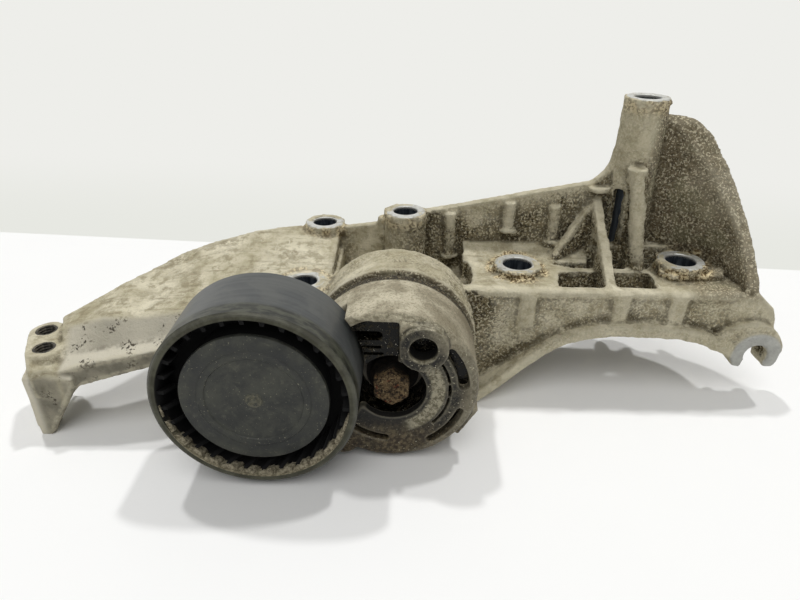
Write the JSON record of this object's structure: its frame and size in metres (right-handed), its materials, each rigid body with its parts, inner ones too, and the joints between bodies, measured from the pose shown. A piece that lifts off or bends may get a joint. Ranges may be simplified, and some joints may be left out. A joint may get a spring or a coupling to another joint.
{
  "type": "belt tensioner",
  "caption": "Cast accessory bracket with bolt tubes and an open hook, carrying a sprung belt tensioner arm with a smooth idler pulley on a sealed ball bearing.",
  "frame": {"origin": "axis of the main bolt tube, at its engine face (z = 0)", "axes": "+Z along the bolt tubes, away from the engine; +X toward the open hook; the belt plane is normal to Y and lies at negative y"},
  "size_m": [0.3207, 0.1181, 0.123],
  "materials": {
    "cast_housing": "as cast, dirty and oxidised",
    "tensioner_shell": "smooth die-cast, dirty",
    "black_arm": "black coated, semi gloss",
    "rusty_steel": "rust-brown bolt head",
    "bare_steel": "ground steel",
    "spring_steel": "dark oiled spring wire",
    "pulley_plastic": "dark charcoal, polished by the belt",
    "cap_plastic": "dark charcoal, dusty",
    "wear_plastic": "hard low-friction plastic",
    "seal_rubber": "black rubber"
  },
  "bodies": {
    "bracket": {"bracket_casting": "cast_housing", "pivot_sleeve": "bare_steel", "pivot_washer": "bare_steel", "pivot_bolt": "rusty_steel", "thrust_washer": "wear_plastic", "groove_seal": "seal_rubber", "damping_bush": "wear_plastic", "torsion_spring": "spring_steel"},
    "arm": {"tensioner_arm": "black_arm", "tensioner_housing": "tensioner_shell", "pivot_bush": "wear_plastic", "spring_seat": "wear_plastic", "pulley_spacer": "bare_steel", "pulley_washer": "bare_steel", "pulley_bolt": "bare_steel", "rear_shield": "bare_steel", "bearing_inner_ring": "bare_steel"},
    "cage": {"bearing_cage": "wear_plastic", "bearing_balls": "bare_steel"},
    "pulley": {"pulley_rim": "pulley_plastic", "bearing_outer_ring": "bare_steel", "bearing_seal_front": "seal_rubber", "bearing_seal_rear": "seal_rubber", "dust_cap": "cap_plastic"}
  },
  "joints": [
    {"name": "arm_swing", "type": "hinge", "parent": "bracket", "child": "arm", "pos_m": [-0.0035, -0.075, 0.0335], "axis": [0, 1, 0], "range_deg": [0, 22], "stiffness_Nm_per_rad": 8, "springref_deg": -20.05},
    {"name": "pulley_spin", "type": "hinge", "parent": "arm", "child": "pulley", "pos_m": [-0.05052, -0.08325, 0.03861], "axis": [0, -1, 0], "continuous": true},
    {"name": "cage_orbit", "type": "hinge", "parent": "arm", "child": "cage", "pos_m": [-0.05052, -0.08325, 0.03861], "axis": [0, -1, 0], "continuous": true}
  ],
  "couplings": [
    {"joint": "cage_orbit", "follows": "pulley_spin", "ratio": 0.6184}
  ]
}
